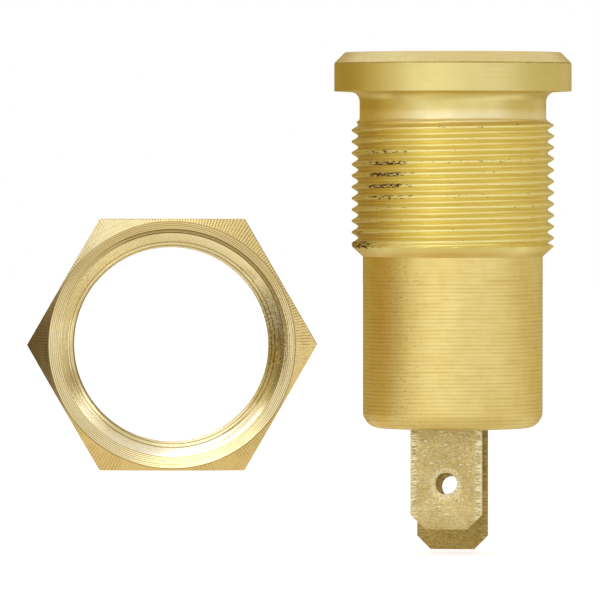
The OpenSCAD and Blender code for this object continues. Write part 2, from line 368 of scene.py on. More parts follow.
# %% Brass helper
BRASS = (0.80, 0.665, 0.28, 1)
BRASS_DEEP = (0.71, 0.545, 0.18, 1)
BRASS_BRIGHT = (0.89, 0.80, 0.36, 1)
BRASS_RICH = (0.72, 0.50, 0.09, 1)
BRASS_GROOVE_AND_SHADE = (0.50, 0.35, 0.11, 1)
BRASS_BROWN = (0.06, 0.03, 0.008, 1)
BRASS_PALE = (0.87, 0.78, 0.52, 1)
BRASS_WHITE = (0.92, 0.84, 0.58, 1)
BRASS_COOL = (0.64, 0.575, 0.25, 1)
BRASS_UPPER_LEFT_SHADE = (0.43, 0.385, 0.23, 1)
BRASS_MILLED = (0.66, 0.49, 0.19, 1)
CONE_PAINTED_HIGHLIGHT = (0.96, 0.91, 0.77, 1)
BRASS_PAINTED_SHADE = (0.24, 0.15, 0.05, 1)
BRASS_LINE = (0.22, 0.15, 0.05, 1)


def brass(name, roughness, anisotropy):
    """A bare metal shader with its helper and its place in millimetres."""
    finish = bpy.data.materials.new(name)
    finish.use_nodes = True
    nodes = Nodes(finish.node_tree)
    shader = finish.node_tree.nodes["Principled BSDF"]
    shader.inputs["Metallic"].default_value = 1.0
    shader.inputs["Roughness"].default_value = roughness
    shader.inputs["Anisotropic"].default_value = anisotropy
    coords = nodes.add("ShaderNodeTexCoord").outputs["Object"]
    place = nodes.add("ShaderNodeMapping", {"Vector": coords, "Scale": (1 / MM, 1 / MM, 1 / MM)})
    return finish, nodes, shader, place.outputs["Vector"]


def across_the_lines(nodes, axis, place):
    """A tangent across lines that were turned about an axis: turned brass is roughest that way."""
    around = nodes.vector("CROSS_PRODUCT", axis, place)
    normal = nodes.add("ShaderNodeNewGeometry").outputs["Normal"]
    return nodes.vector("NORMALIZE", nodes.vector("CROSS_PRODUCT", normal, around))


def cylinder_terms(nodes, place):
    """Radius, height and turn (0 to 1) of a place about the Z axis."""
    parts = nodes.add("ShaderNodeSeparateXYZ", {"Vector": place}).outputs
    flat = nodes.vector("MULTIPLY", place, (1, 1, 0))
    radius = nodes.add("ShaderNodeVectorMath", {0: flat}, operation="LENGTH").outputs["Value"]
    turn = nodes.math("DIVIDE", nodes.math("ARCTAN2", parts["Y"], parts["X"]), 2 * math.pi)
    return radius, parts["Z"], turn


def feed_lines(nodes, along, turn, feed):
    """A wave that repeats each feed along the cut and climbs one feed for each turn."""
    phase = nodes.math("SUBTRACT", nodes.math("DIVIDE", along, feed), turn)
    return nodes.math("SINE", nodes.math("MULTIPLY", phase, 2 * math.pi))


# %% Turned brass for the shell
def turned_brass():
    finish, nodes, shader, place = brass("turned_brass_finish", 0.4, 0.25)
    radius, height, turn = cylinder_terms(nodes, place)
    slow = nodes.noise(nodes.vector("MULTIPLY", place, (1, 1, 0.45)), 0.22, 3)
    cloud = nodes.noise(nodes.vector("MULTIPLY", place, (1, 1, 0.8)), 0.8, 4)
    streak = nodes.noise(nodes.vector("MULTIPLY", place, (0.3, 0.3, 6)), 0.9, 4)
    blend = nodes.math("MULTIPLY", nodes.span(slow, 0.35, 0.7), 0.5)
    blend = nodes.math("ADD", blend, nodes.math("MULTIPLY", nodes.span(cloud, 0.4, 0.75), 0.3))
    blend = nodes.math("ADD", blend, nodes.span(streak, 0.3, 0.75, -0.12, 0.3), clamp=True)
    on_wall = nodes.math("MULTIPLY", nodes.span(height, -0.4, 0.2), nodes.span(height, 2.6, 2.4, 0, 0.35))
    colour = nodes.mix(blend, BRASS, BRASS_DEEP)
    colour = nodes.mix(nodes.math("MULTIPLY", on_wall, 1.5), colour, BRASS_COOL)
    on_neck = nodes.math("MULTIPLY", nodes.span(height, 0, -0.3), nodes.span(height, -1.9, -1.3, 0, 0.4))
    colour = nodes.mix(on_neck, colour, BRASS_COOL)
    # Painted highlight: the lower neck and its flare are whitened in a band round the shell.
    flare_painted_highlight = nodes.math("MULTIPLY", nodes.span(height, -1.4, -2.1), nodes.span(height, -2.85, -2.5, 0, 0.6))
    colour = nodes.mix(flare_painted_highlight, colour, BRASS_WHITE)

    in_tail = nodes.math("LESS_THAN", height, -14.6)
    in_thread = nodes.math("MULTIPLY", nodes.span(height, -14.4, -13.9), nodes.span(height, -2.6, -3.0))
    colour = nodes.mix(nodes.math("MULTIPLY", in_thread, 0.7), colour, BRASS_BRIGHT)
    # Painted shade: the thread on the far left side is darkened with the groove colour.
    far_left = nodes.math("MULTIPLY", nodes.span(turn, -0.33, -0.42, 0, 0.35), nodes.span(turn, -0.5, -0.46))
    colour = nodes.mix(nodes.math("MULTIPLY", far_left, in_thread), colour, BRASS_GROOVE_AND_SHADE)

    # Painted shade: a narrow band down the left side of the tail is made a darker, deeper brass.
    tail_left_painted_shade = nodes.math("MULTIPLY", nodes.span(turn, -0.35, -0.385, 0, 0.5), nodes.span(turn, -0.435, -0.405))
    colour = nodes.mix(nodes.math("MULTIPLY", tail_left_painted_shade, in_tail), colour, BRASS_RICH)
    # Painted highlight: the flange's chamfer and its front face are made paler.
    colour = nodes.mix(nodes.span(height, 2.5, 2.6, 0, 0.3), colour, BRASS_PALE)

    tail_lines = feed_lines(nodes, height, turn, 0.333)
    fine_lines = feed_lines(nodes, height, turn, 0.14)
    strength = nodes.math("MULTIPLY", nodes.span(streak, 0.3, 0.7, 0.4, 1.3), nodes.span(height, -15.2, -17, 0.2, 1))
    lines = nodes.math("MULTIPLY", nodes.math("MULTIPLY", tail_lines, in_tail), strength)
    shade = nodes.math("MULTIPLY", nodes.math("MAXIMUM", lines, 0.0), 0.36)
    other = nodes.math("MULTIPLY", nodes.math("MULTIPLY", fine_lines, 0.3), nodes.math("SUBTRACT", 1.0, in_tail))
    shade = nodes.math("ADD", shade, nodes.math("MULTIPLY", nodes.math("MAXIMUM", other, 0.0), 0.4), clamp=True)
    colour = nodes.mix(shade, colour, BRASS_GROOVE_AND_SHADE)

    # Torn crests on one side, where the tool dragged, and small ticks on the tail.
    torn = nodes.noise(nodes.vector("MULTIPLY", place, (1.3, 1.3, 5)), 1.6, 3, 0.65)
    side = nodes.math("MULTIPLY", nodes.span(turn, -0.415, -0.38), nodes.span(turn, -0.29, -0.34))
    level = nodes.math("MULTIPLY", nodes.span(height, -3.6, -6.5), nodes.span(height, -11, -8.5))
    end_side = nodes.math("MULTIPLY", nodes.span(turn, -0.36, -0.42), nodes.span(height, -12, -12.7))
    dragged = nodes.math("MAXIMUM", nodes.math("MULTIPLY", side, level), end_side)
    density = nodes.math("ADD", torn, nodes.math("MULTIPLY", dragged, 0.19))
    crest = nodes.math("MULTIPLY", nodes.span(radius, 8.75, 8.83), in_thread)
    torn_crest = nodes.math("MULTIPLY", nodes.span(density, 0.66, 0.68), crest)
    tick_place = nodes.math("MULTIPLY", nodes.span(turn, -0.25, -0.31, 0, 0.09), nodes.span(turn, -0.42, -0.37))
    tick = nodes.span(nodes.math("ADD", torn, tick_place), 0.71, 0.75, 0, 0.4)
    marks_and_crease_shade = nodes.math("MAXIMUM", torn_crest, nodes.math("MULTIPLY", tick, in_tail))
    marks_and_crease_shade = nodes.math("MULTIPLY", marks_and_crease_shade, nodes.math("LESS_THAN", turn, 0.0))
    # Painted shade: the crease where the tail rounds into its end is darkened, most on the left side, and joins the
    # marks.
    crease = nodes.span(nodes.math("ABSOLUTE", nodes.math("ADD", height, 28.92)), 0.06, 0.02, 0, 0.4)
    crease = nodes.math("MULTIPLY", crease, nodes.span(turn, -0.3, -0.42, 0.15, 1))
    burr = nodes.span(nodes.math("ABSOLUTE", nodes.math("SUBTRACT", height, 2.46)), 0.06, 0.03, 0, 0.4)
    burr = nodes.math("MULTIPLY", burr, nodes.span(torn, 0.42, 0.56, 0.25, 1))
    marks_and_crease_shade = nodes.math("MAXIMUM", marks_and_crease_shade, nodes.math("MAXIMUM", crease, burr))
    colour = nodes.mix(nodes.math("MULTIPLY", marks_and_crease_shade, 0.97), colour, BRASS_BROWN)
    nodes.feed(shader.inputs["Base Color"], colour)

    rough = nodes.math("ADD", nodes.span(cloud, 0.3, 0.7, 0.36, 0.44), nodes.math("MULTIPLY", streak, 0.05))
    rough = nodes.math("ADD", rough, nodes.math("MULTIPLY", in_tail, 0.07))
    nodes.feed(shader.inputs["Roughness"], rough)

    face_lines = feed_lines(nodes, radius, turn, 0.12)
    on_face = nodes.math("GREATER_THAN", height, 3.3)
    face = nodes.math("MULTIPLY", nodes.math("MULTIPLY", face_lines, 0.4), on_face)
    relief = nodes.math("ADD", nodes.math("ADD", nodes.math("MULTIPLY", lines, -1.0), other), face)
    relief = nodes.math("ADD", relief, nodes.math("MULTIPLY", streak, 1.4))
    relief = nodes.math("SUBTRACT", relief, nodes.math("MULTIPLY", marks_and_crease_shade, 2.0))
    nodes.feed(shader.inputs["Normal"], nodes.bump(relief, 0.004))
    nodes.feed(shader.inputs["Tangent"], across_the_lines(nodes, (0, 0, 1), place))
    return finish


shell_finish = turned_brass()
print("finish", shell_finish.name)

# %% [markdown]
# ## The shell
# The real shell is one turned tube. Its panel thread is a single right-hand helix, so the wire of
# the thread climbs one pitch while it spins once. Both ends are then pressed flat to the heights
# where the plain rings begin, and points that meet become one. The rest of the half section is an
# ordinary spin with the same number of steps, so its two end rings join the thread exactly.

# %% Shell sizes in millimetres
FLANGE_R = 10.494
FLANGE_T = 3.45
FLANGE_CHAMFER = 0.95
CREST_R = 8.95
ROOT_R = 8.4
NECK_R = 8.25
NECK_L = 2.95
NECK_FLARE = 0.6
FILLET_R = 0.76
THREAD_END = -13.7
THREAD_RUNOUT = 0.9
TAIL_R = 7.96
BODY_END = -29.75
RIM_R = 1.42
LIP_R = 5.95
LIP_T = 0.75
CAVITY_R = 6.9
SHOULDER = -15.15
BORE_R = 6.05
MOUTH_CHAMFER = 0.6
PITCH = 1.0
THREAD_PHASE = 0.056
FLANK_POINTS = 3


# %% Shell mesh
def shell_limit(radius, height):
    """Keeps the helix inside the hollow flare in front and the plain chamfer behind."""
    rise = min(max((-NECK_L + NECK_FLARE - height) / NECK_FLARE, 0), 1)
    flare = NECK_R + (CREST_R - NECK_R) * rise ** 1.8
    chamfer = TAIL_R + (height - THREAD_END + THREAD_RUNOUT) * (CREST_R - TAIL_R) / THREAD_RUNOUT
    fade = min(max((THREAD_END + 0.3 - height) / 0.3, 0), 1)
    radius += fade * (CREST_R - radius)
    return min(radius, flare, chamfer)


def corner_arc(centre, radius, start, stop, steps=8):
    """Points of a round corner in a half section, between two angles in degrees."""
    angles = [math.radians(start + (stop - start) * step / steps) for step in range(steps + 1)]
    return [(centre[0] + radius * math.cos(a), centre[1] + radius * math.sin(a)) for a in angles]


def make_shell():
    bm = bmesh.new()
    top = -NECK_L + NECK_FLARE
    tail_top = THREAD_END - THREAD_RUNOUT
    first_crest = -NECK_L + THREAD_PHASE
    add_helix(bm, CREST_R, ROOT_R, PITCH, 0.15, 0.15, first_crest + 2 * PITCH, tail_top, shell_limit, FLANK_POINTS)
    for vert in bm.verts:
        if vert.co.z > top - SNAP:
            scale = NECK_R / math.hypot(vert.co.x, vert.co.y)
            vert.co = (vert.co.x * scale, vert.co.y * scale, top)
    rim = corner_arc((TAIL_R - RIM_R, BODY_END + RIM_R), RIM_R, 0, -90, 12)
    crease = [(x - 0.05, z) if index == 4 else (x, z) for index, (x, z) in enumerate(rim)]
    arc = corner_arc((NECK_R + FILLET_R, -FILLET_R), FILLET_R, 94, 180, 10)
    fillet = [(x, 1.15 * z - 0.08) for x, z in arc]
    edge = FLANGE_T - FLANGE_CHAMFER
    points = [(TAIL_R, tail_top), *crease, (LIP_R, BODY_END),
              (LIP_R, BODY_END + LIP_T), (CAVITY_R, BODY_END + LIP_T), (CAVITY_R, SHOULDER), (BORE_R, SHOULDER),
              (BORE_R, FLANGE_T - MOUTH_CHAMFER), (BORE_R + MOUTH_CHAMFER, FLANGE_T),
              (FLANGE_R - FLANGE_CHAMFER, FLANGE_T), (FLANGE_R - 0.02, edge + 0.02), (FLANGE_R - 0.05, edge - 0.03),
              (FLANGE_R, edge - 0.09), (FLANGE_R, 0), *fillet, (NECK_R, top)]
    last = len(points) - 1
    flange_edge = last - len(fillet) - 1
    rounds = {14: 0.08, 19: 0.05, 20: 0.05, 21: 0.06, flange_edge + 1: 0.08}
    add_turned(bm, points, rounds, segments=3)
    return close_piece(bm, "turned_shell", shell_finish, "turned_brass", "shell")


shell = make_shell()

# %% [markdown]
# ## The loose nut
# A nut like this is sawn off hex bar and turned on its front: a countersink with a shallow grooved
# band, and a chamfer that falls away to the corners. It is turned here too, as a round ring. The
# outer rows of the ring are then pressed out to the six flats, which keeps clean rings of faces
# where a cut with a hexagon would leave slivers.

# %% Nut sizes in millimetres
NUT_T = 4.5
NUT_HALF_AF = 11.0
NUT_CORNER_R = NUT_HALF_AF / math.cos(math.radians(30))
SINK_R = 10.8
CORNER_DROP = 0.5
BAND_IN_R = 9.85
BAND_LOW = 4.2
MINOR_R = 8.56
MAJOR_R = 9.01
ENTRY_TOP = 3.3
ENTRY_LOW = ENTRY_TOP - (MAJOR_R - MINOR_R)
REAR_R = 8.8
BAND_GROOVES = 6
HOLE_OFFSET = (-0.14, -0.03)
NUT_PLACE = (Matrix.Translation(Vector((-24, -9.1, -22.25))) @ Matrix.Rotation(math.radians(5), 4, "Z")
             @ Matrix.Rotation(math.radians(90), 4, "X") @ Matrix.Translation(Vector((0, 0, -NUT_T))))


# %% Nut mesh
def nut_limit(radius, height):
    """Opens the inner thread into its entry chamfer and lets it fade out at the rear face."""
    entry = MINOR_R + max(height - ENTRY_LOW, 0)
    rear = MINOR_R + max(REAR_R - MINOR_R - height, 0)
    deepest = min(MAJOR_R, REAR_R + 2 * height)
    return min(max(radius, entry, rear), deepest)


def press_to_hexagon(bm):
    """Moves the rows outside the countersink from circles to the hexagon and its turned chamfer."""
    for vert in bm.verts:
        radius = math.hypot(vert.co.x, vert.co.y)
        if radius < SINK_R + MERGE:
            continue
        share = (radius - SINK_R) / (NUT_CORNER_R - SINK_R)
        angle = math.degrees(math.atan2(vert.co.y, vert.co.x)) % 60 - 30
        edge = NUT_HALF_AF / math.cos(math.radians(angle))
        fresh = SINK_R + share * (edge - SINK_R)
        if vert.co.z > NUT_T / 2:
            vert.co.z -= CORNER_DROP * (fresh - radius) / (NUT_CORNER_R - SINK_R)
        vert.co.x *= fresh / radius
        vert.co.y *= fresh / radius


def drill_off_centre(bm):
    """Moves the hole a little off the countersink's centre, as a drill that wandered leaves it."""
    for vert in bm.verts:
        radius = math.hypot(vert.co.x, vert.co.y)
        share = min(max((BAND_IN_R - radius) / (BAND_IN_R - MAJOR_R), 0), 1)
        vert.co.x += HOLE_OFFSET[0] * share
        vert.co.y += HOLE_OFFSET[1] * share


def make_nut(finish):
    bm = bmesh.new()
    add_helix(bm, MAJOR_R, MINOR_R, PITCH, 0.15, 0.15, ENTRY_TOP, 0, nut_limit)
    band = []
    step = (SINK_R - BAND_IN_R) / (2 * BAND_GROOVES + 1)
    for row in range(2 * BAND_GROOVES + 2):
        share = row * step / (SINK_R - BAND_IN_R)
        dip = 0.02 if row % 2 else 0
        band.append((BAND_IN_R + row * step, BAND_LOW + share * (NUT_T - BAND_LOW) - dip))
    band[-1] = (SINK_R, NUT_T)
    drop = [(SINK_R + share * (NUT_CORNER_R - SINK_R), NUT_T - share * CORNER_DROP)
            for share in (0.25, 0.5, 0.75, 0.96, 1)]
    side = [(NUT_CORNER_R, height) for height in (3.9, 2.7, 1.4, 0.08)]
    back = [(SINK_R + share * (NUT_CORNER_R - SINK_R), 0) for share in (0.96, 0.5)]
    points = [(MAJOR_R, ENTRY_TOP)] + band + drop + side + back + [(SINK_R, 0), (REAR_R, 0)]
    add_turned(bm, points, {1: 0.05}, segments=3)
    press_to_hexagon(bm)
    drill_off_centre(bm)
    bmesh.ops.remove_doubles(bm, verts=bm.verts, dist=MERGE)
    bm.transform(NUT_PLACE)
    return close_piece(bm, "threaded_nut", finish, "milled_brass", "hex_nut")


def milled_brass():
    finish, nodes, shader, place = brass("milled_brass_finish", 0.28, 0.35)
    inward = NUT_PLACE.inverted()
    local = nodes.add("ShaderNodeMapping", {
        "Vector": place, "Location": inward.translation, "Rotation": inward.to_euler("XYZ")}).outputs["Vector"]
    radius, height, turn = cylinder_terms(nodes, local)
    outside = nodes.span(radius, 10.80, 10.88)
    on_front = nodes.span(height, 3.9, 4.05)
    inside = nodes.math("MULTIPLY", nodes.span(radius, 9.1, 9.0), nodes.span(height, 2.4, 3.0))
    left = nodes.span(nodes.math("ABSOLUTE", turn), 0.40, 0.44)
    right_side = nodes.math("MULTIPLY", nodes.span(turn, -0.07, -0.01), nodes.span(turn, 0.12, 0.05))
    upper_right = nodes.math("MULTIPLY", nodes.span(turn, -0.04, 0.05), nodes.span(turn, 0.34, 0.2))

    # Noise that is long round the axis, as turning leaves it, and a fine grain.
    cloud = nodes.noise(place, 0.8, 4)
    flat = nodes.vector("NORMALIZE", nodes.vector("MULTIPLY", local, (1, 1, 0)))
    depth = nodes.add("ShaderNodeCombineXYZ", {"Z": nodes.math("MULTIPLY", radius, 7)}).outputs["Vector"]
    rings = nodes.noise(nodes.vector("ADD", nodes.vector("MULTIPLY", flat, (2.5, 2.5, 0)), depth), 1.0, 3)
    grain = nodes.noise(place, 5.5, 3, 0.7)
    colour = nodes.mix(nodes.span(cloud, 0.35, 0.7, 0, 0.3), BRASS_PALE, BRASS)
    colour = nodes.mix(nodes.math("MULTIPLY", inside, 0.8), colour, BRASS_WHITE)
    colour = nodes.mix(nodes.math("MULTIPLY", outside, 0.85), colour, BRASS_MILLED)
    # Painted shade: the corner land on the left is darkened, broken up by the grain.
    left_land_painted_shade = nodes.math("MULTIPLY", nodes.math("MULTIPLY", outside, left), nodes.span(grain, 0.42, 0.56, 1, 0.5))
    colour = nodes.mix(nodes.math("MULTIPLY", left_land_painted_shade, 0.5), colour, BRASS_PAINTED_SHADE)
    upper_left = nodes.math("MULTIPLY", nodes.span(turn, 0.24, 0.3), nodes.span(turn, 0.44, 0.4))
    # Painted shade: the upper left of the face is darkened, most on the corner lands.
    darkening = nodes.math("MULTIPLY", upper_left, nodes.span(outside, 0, 1, 0.15, 0.8))
    colour = nodes.mix(darkening, colour, BRASS_UPPER_LEFT_SHADE)
    # Painted highlight: the lower side of the countersink cone is made almost white.
    cone = nodes.math("MULTIPLY", nodes.span(radius, 9.05, 9.1), nodes.span(radius, 9.84, 9.78))
    low_side = nodes.math("MULTIPLY", nodes.span(turn, -0.06, -0.12), nodes.span(turn, -0.46, -0.38))
    colour = nodes.mix(nodes.math("MULTIPLY", cone, nodes.math("MULTIPLY", low_side, 0.9)), colour, CONE_PAINTED_HIGHLIGHT)

    # Fine turned lines between the outer circle and the cone, and two where the thread starts.
    band = nodes.math("MULTIPLY", nodes.span(radius, 9.78, 9.84), nodes.span(radius, 10.86, 10.80))
    wave = nodes.math("COSINE", nodes.math("MULTIPLY", nodes.math("SUBTRACT", radius, 10.79), 2 * math.pi / 0.16))
    groove = nodes.math("MULTIPLY", nodes.span(wave, 0.0, 0.9), band)
    inner = nodes.math("MULTIPLY", nodes.span(radius, 10.2, 10.0), upper_right)
    weight = nodes.math("ADD", nodes.span(rings, 0.35, 0.6, 0.45, 0.85), nodes.math("MULTIPLY", inner, 1.2))
    groove = nodes.math("MULTIPLY", groove, weight)
    colour = nodes.mix(nodes.math("MULTIPLY", band, 0.45), colour, BRASS_MILLED)
    upper_arc = nodes.math("MULTIPLY", nodes.span(turn, -0.03, 0.06), nodes.span(turn, 0.4, 0.28))
    for line_radius in (9.86, 10.11):
        distance = nodes.math("ABSOLUTE", nodes.math("SUBTRACT", radius, line_radius))
        dark = nodes.math("MULTIPLY", nodes.span(distance, 0.085, 0.035, 0, 1.2), upper_arc)
        groove = nodes.math("MAXIMUM", groove, dark)
    for line_radius in (9.03, 8.72, 10.82):
        distance = nodes.math("ABSOLUTE", nodes.math("SUBTRACT", radius, line_radius))
        groove = nodes.math("MAXIMUM", groove, nodes.span(distance, 0.07, 0.02, 0, 0.7))
    hatch = nodes.math("SINE", nodes.math("MULTIPLY", turn, 2 * math.pi * 285))
    patch = nodes.span(nodes.noise(local, 0.5, 2), 0.42, 0.6, 0.25, 0.6)
    patch = nodes.math("ADD", patch, nodes.math("MULTIPLY", upper_right, 0.5))
    hatch = nodes.math("MULTIPLY", nodes.math("MULTIPLY", hatch, patch), nodes.math("MULTIPLY", outside, on_front))
    on_cone = nodes.math("MULTIPLY", right_side, nodes.span(radius, 10.5, 9.9, 0.15, 1))
    dots = nodes.math("MULTIPLY", nodes.span(grain, 0.42, 0.62), nodes.math("MULTIPLY", on_cone, 0.75))
    dots = nodes.math("ADD", dots, nodes.math("MULTIPLY", nodes.span(grain, 0.45, 0.7), nodes.math(
        "ADD", nodes.math("MULTIPLY", outside, 0.2), nodes.math("MULTIPLY", band, 0.1))))
    shade = nodes.math("ADD", groove, nodes.math("MULTIPLY", nodes.span(hatch, 0.1, 0.9), 0.75), clamp=True)
    shade = nodes.math("ADD", shade, dots, clamp=True)
    colour = nodes.mix(shade, colour, BRASS_LINE)
    # Painted shade: the right side of the countersink cone is darkened.
    colour = nodes.mix(nodes.math("MULTIPLY", on_cone, 0.25), colour, BRASS_PAINTED_SHADE)
    nodes.feed(shader.inputs["Base Color"], colour)
    nodes.feed(shader.inputs["Roughness"], nodes.math(
        "ADD", nodes.span(rings, 0.3, 0.7, 0.2, 0.3), nodes.math("MULTIPLY", outside, 0.1)))
    relief = nodes.math("ADD", nodes.math("MULTIPLY", rings, 0.6), nodes.math("MULTIPLY", hatch, -0.8))
    rough_spots = nodes.math("ADD", outside, nodes.math("ADD", right_side, nodes.math("MULTIPLY", band, 0.2)))
    relief = nodes.math("ADD", relief, nodes.math("MULTIPLY", nodes.math("MULTIPLY", grain, rough_spots), 2.5))
    nodes.feed(shader.inputs["Normal"], nodes.bump(relief, 0.004))
    axis = NUT_PLACE.to_3x3() @ Vector((0, 0, 1))
    from_middle = nodes.vector("SUBTRACT", place, tuple(NUT_PLACE.translation))
    nodes.feed(shader.inputs["Tangent"], across_the_lines(nodes, tuple(axis), from_middle))
    return finish


nut_finish = milled_brass()
nut = make_nut(nut_finish)

# The nut was lit on its own, so two of the lamps shine on nothing else.
nut_only = bpy.data.collections.new("lit_by_nut_lamps")
nut_only.objects.link(nut)
for nut_light in nut_lamps:
    nut_light.light_linking.receiver_collection = nut_only

# %% [markdown]
# ## The two tabs
# A press shears each tab out of sheet, so it has a rolled edge on one side and a torn edge on the
# other, and then bends it. The mesh is made the same way: a flat outline with its hole is filled,
# given its thickness and a small bevel, cut with lines where it will bend, and bent last.

# %% Tab sizes in millimetres
TAB_W = 6.3
TAB_T = 0.8
BEND_MID_R = 0.7
TAB_HOLE_R = 0.95
TIP_THIN = 0.15
TIP_LEAD = 0.5
STEM_HOLE_R = 1.55
STACK_R = 6.85
WASHER_R = 6.85
WASHER_T = 0.8
BEND_STEPS = 10
TAB_DRIFT = -0.28


# %% Tab mesh
def flat_tab(foot, bend, length, hole, corner, foot_round, foot_hole):
    """A flat blank along Y with its bend starting at y = bend. Returns the mesh."""
    tip = bend + BEND_MID_R * math.pi / 2 + length
    half = TAB_W / 2
    bm = bmesh.new()
    corners = [(-half, foot), (half, foot), (half, tip), (-half, tip)]
    verts = [bm.verts.new((x, y, -TAB_T / 2)) for x, y in corners]
    for index in range(4):
        bm.edges.new((verts[index], verts[(index + 1) % 4]))
    if foot_round:
        bmesh.ops.bevel(bm, geom=verts[:2], offset=half - 0.001, offset_type="OFFSET", segments=16,
                        profile=0.5, affect="VERTICES", clamp_overlap=False, material=-1)
    bmesh.ops.bevel(bm, geom=verts[2:], offset=corner, offset_type="OFFSET", segments=1,
                    profile=0.5, affect="VERTICES", clamp_overlap=False, material=-1)
    bmesh.ops.create_circle(bm, segments=48, radius=TAB_HOLE_R, cap_ends=False,
                            matrix=Matrix.Translation((0, tip - hole, -TAB_T / 2)))
    if foot_hole:
        bmesh.ops.create_circle(bm, segments=48, radius=foot_hole, cap_ends=False,
                                matrix=Matrix.Translation((0, 0, -TAB_T / 2)))
    bmesh.ops.triangle_fill(bm, edges=bm.edges[:], use_beauty=True, use_dissolve=False, normal=(0, 0, 1))
    made = bmesh.ops.extrude_face_region(bm, geom=bm.faces[:])
    raised = [item for item in made["geom"] if isinstance(item, bmesh.types.BMVert)]
    bmesh.ops.translate(bm, verts=raised, vec=(0, 0, TAB_T))
    bmesh.ops.recalc_face_normals(bm, faces=bm.faces)
    rims = [edge for edge in bm.edges if edge.calc_face_angle(0) > math.radians(60)]
    bmesh.ops.bevel(bm, geom=rims, offset=0.05, offset_type="OFFSET", segments=2, profile=0.5,
                    affect="EDGES", clamp_overlap=True, material=-1)
    cuts = [bend + BEND_MID_R * math.pi / 2 * step / BEND_STEPS for step in range(BEND_STEPS + 1)]
    for cut in cuts + [tip - TIP_LEAD]:
        bmesh.ops.bisect_plane(bm, geom=[*bm.verts, *bm.edges, *bm.faces], dist=MERGE,
                               plane_co=(0, cut, 0), plane_no=(0, 1, 0))
    for vert in bm.verts:
        taper = max(vert.co.y - tip + TIP_LEAD, 0) / TIP_LEAD
        vert.co.z *= 1 - taper * 2 * TIP_THIN / TAB_T
    return bm


def bend_tab(bm, bend, height, drift):
    """Bends the blank down through a quarter turn, with its blade a little off the middle."""
    arc = BEND_MID_R * math.pi / 2
    for vert in bm.verts:
        x, along, rise = vert.co
        turn = min(max(along - bend, 0), arc) / BEND_MID_R
        past = max(along - bend - arc, 0)
        reach = BEND_MID_R + rise
        y = min(along, bend) + reach * math.sin(turn)
        z = height - BEND_MID_R + reach * math.cos(turn) - past
        vert.co = (x + drift * min(max((along - bend) / arc, 0), 1), y, z)


def make_live_tab(finish):
    bm = flat_tab(foot=-TAB_W / 2, bend=3.3, length=14.15, hole=5.55, corner=1.2, foot_round=True,
                  foot_hole=STEM_HOLE_R)
    bend_tab(bm, 3.3, -25.9, TAB_DRIFT)
    return close_piece(bm, "live_blade", finish, "tab_brass", "live_tab")


def make_earth_tab(finish):
    bm = flat_tab(foot=-6.375, bend=-4.7, length=9.25, hole=4.05, corner=1.3, foot_round=False, foot_hole=0)
    bend_tab(bm, -4.7, -28.6, TAB_DRIFT)
    ring = [(LIP_R, -29), (STACK_R, -29), (STACK_R, -28.2), (LIP_R, -28.2), (LIP_R, -29)]
    add_turned(bm, ring)
    return close_piece(bm, "earth_blade", finish, "tab_brass", "earth_tab")


def sheared_brass(name, light, dark, pale, hole_height):
    finish, nodes, shader, place = brass(name, 0.36, 0.0)
    parts = nodes.add("ShaderNodeSeparateXYZ", {"Vector": place}).outputs
    across = nodes.math("ABSOLUTE", nodes.math("SUBTRACT", parts["X"], TAB_DRIFT))
    mottle = nodes.noise(nodes.vector("MULTIPLY", place, (1, 1, 2.4)), 2.0, 5, 0.8)
    grain = nodes.noise(nodes.vector("MULTIPLY", place, (1, 1, 2)), 5.5, 3, 0.8)
    cloud = nodes.noise(place, 0.45, 3)
    darkening = nodes.math("ADD", nodes.span(cloud, 0.35, 0.7, 0, 0.25), nodes.span(mottle, 0.40, 0.62, 0, 0.5))
    # The tab is made darker above about 36 mm below the flange, so it is lighter towards its tip.
    darkening = nodes.math("ADD", darkening, nodes.span(parts["Z"], -37.2, -36.0, 0, 0.28))
    darkening = nodes.math("ADD", darkening, nodes.span(grain, 0.42, 0.62, -0.25, 0.6), clamp=True)
    colour = nodes.mix(darkening, light, dark)

    # Pale nicks along the sheared edges, a burr round the punched hole and a few pale flecks.
    reach = nodes.noise(nodes.vector("MULTIPLY", place, (0, 0, 1)), 2.2, 2)
    edge = nodes.span(nodes.math("ADD", across, nodes.math("MULTIPLY", reach, 1.2)), 2.95, 3.5)
    nicks = nodes.noise(nodes.vector("MULTIPLY", place, (0.7, 0.7, 5.5)), 1.3, 4, 0.65)
    nicks = nodes.math("MULTIPLY", nodes.span(nicks, 0.45, 0.51), edge)
    border = nodes.span(across, 2.95, 3.1, 0, 0.6)
    from_hole = nodes.vector("SUBTRACT", place, (TAB_DRIFT, 0, hole_height))
    from_hole = nodes.vector("MULTIPLY", from_hole, (1, 0, 1))
    hole = nodes.add("ShaderNodeVectorMath", {0: from_hole}, operation="LENGTH").outputs["Value"]
    burr = nodes.math("MULTIPLY", nodes.span(hole, 1.6, 1.05), nodes.span(grain, 0.62, 0.42, 0.1, 0.9))
    fleck = nodes.noise(nodes.vector("MULTIPLY", place, (0.8, 0.8, 3)), 1.9, 3, 0.7)
    fleck = nodes.span(fleck, 0.58, 0.64, 0, 1)
    worn = nodes.math("MAXIMUM", nodes.math("MAXIMUM", nicks, burr), nodes.math("MAXIMUM", border, fleck))
    colour = nodes.mix(nodes.math("MULTIPLY", worn, 0.8), colour, pale)
    nodes.feed(shader.inputs["Base Color"], colour)
    nodes.feed(shader.inputs["Roughness"], nodes.span(mottle, 0.3, 0.7, 0.3, 0.42))
    relief = nodes.math("ADD", nodes.math("MULTIPLY", grain, 1.4), nodes.math("MULTIPLY", mottle, 1.5))
    relief = nodes.math("ADD", relief, nodes.math("MULTIPLY", worn, 1.2))
    nodes.feed(shader.inputs["Normal"], nodes.bump(relief, 0.02))
    return finish


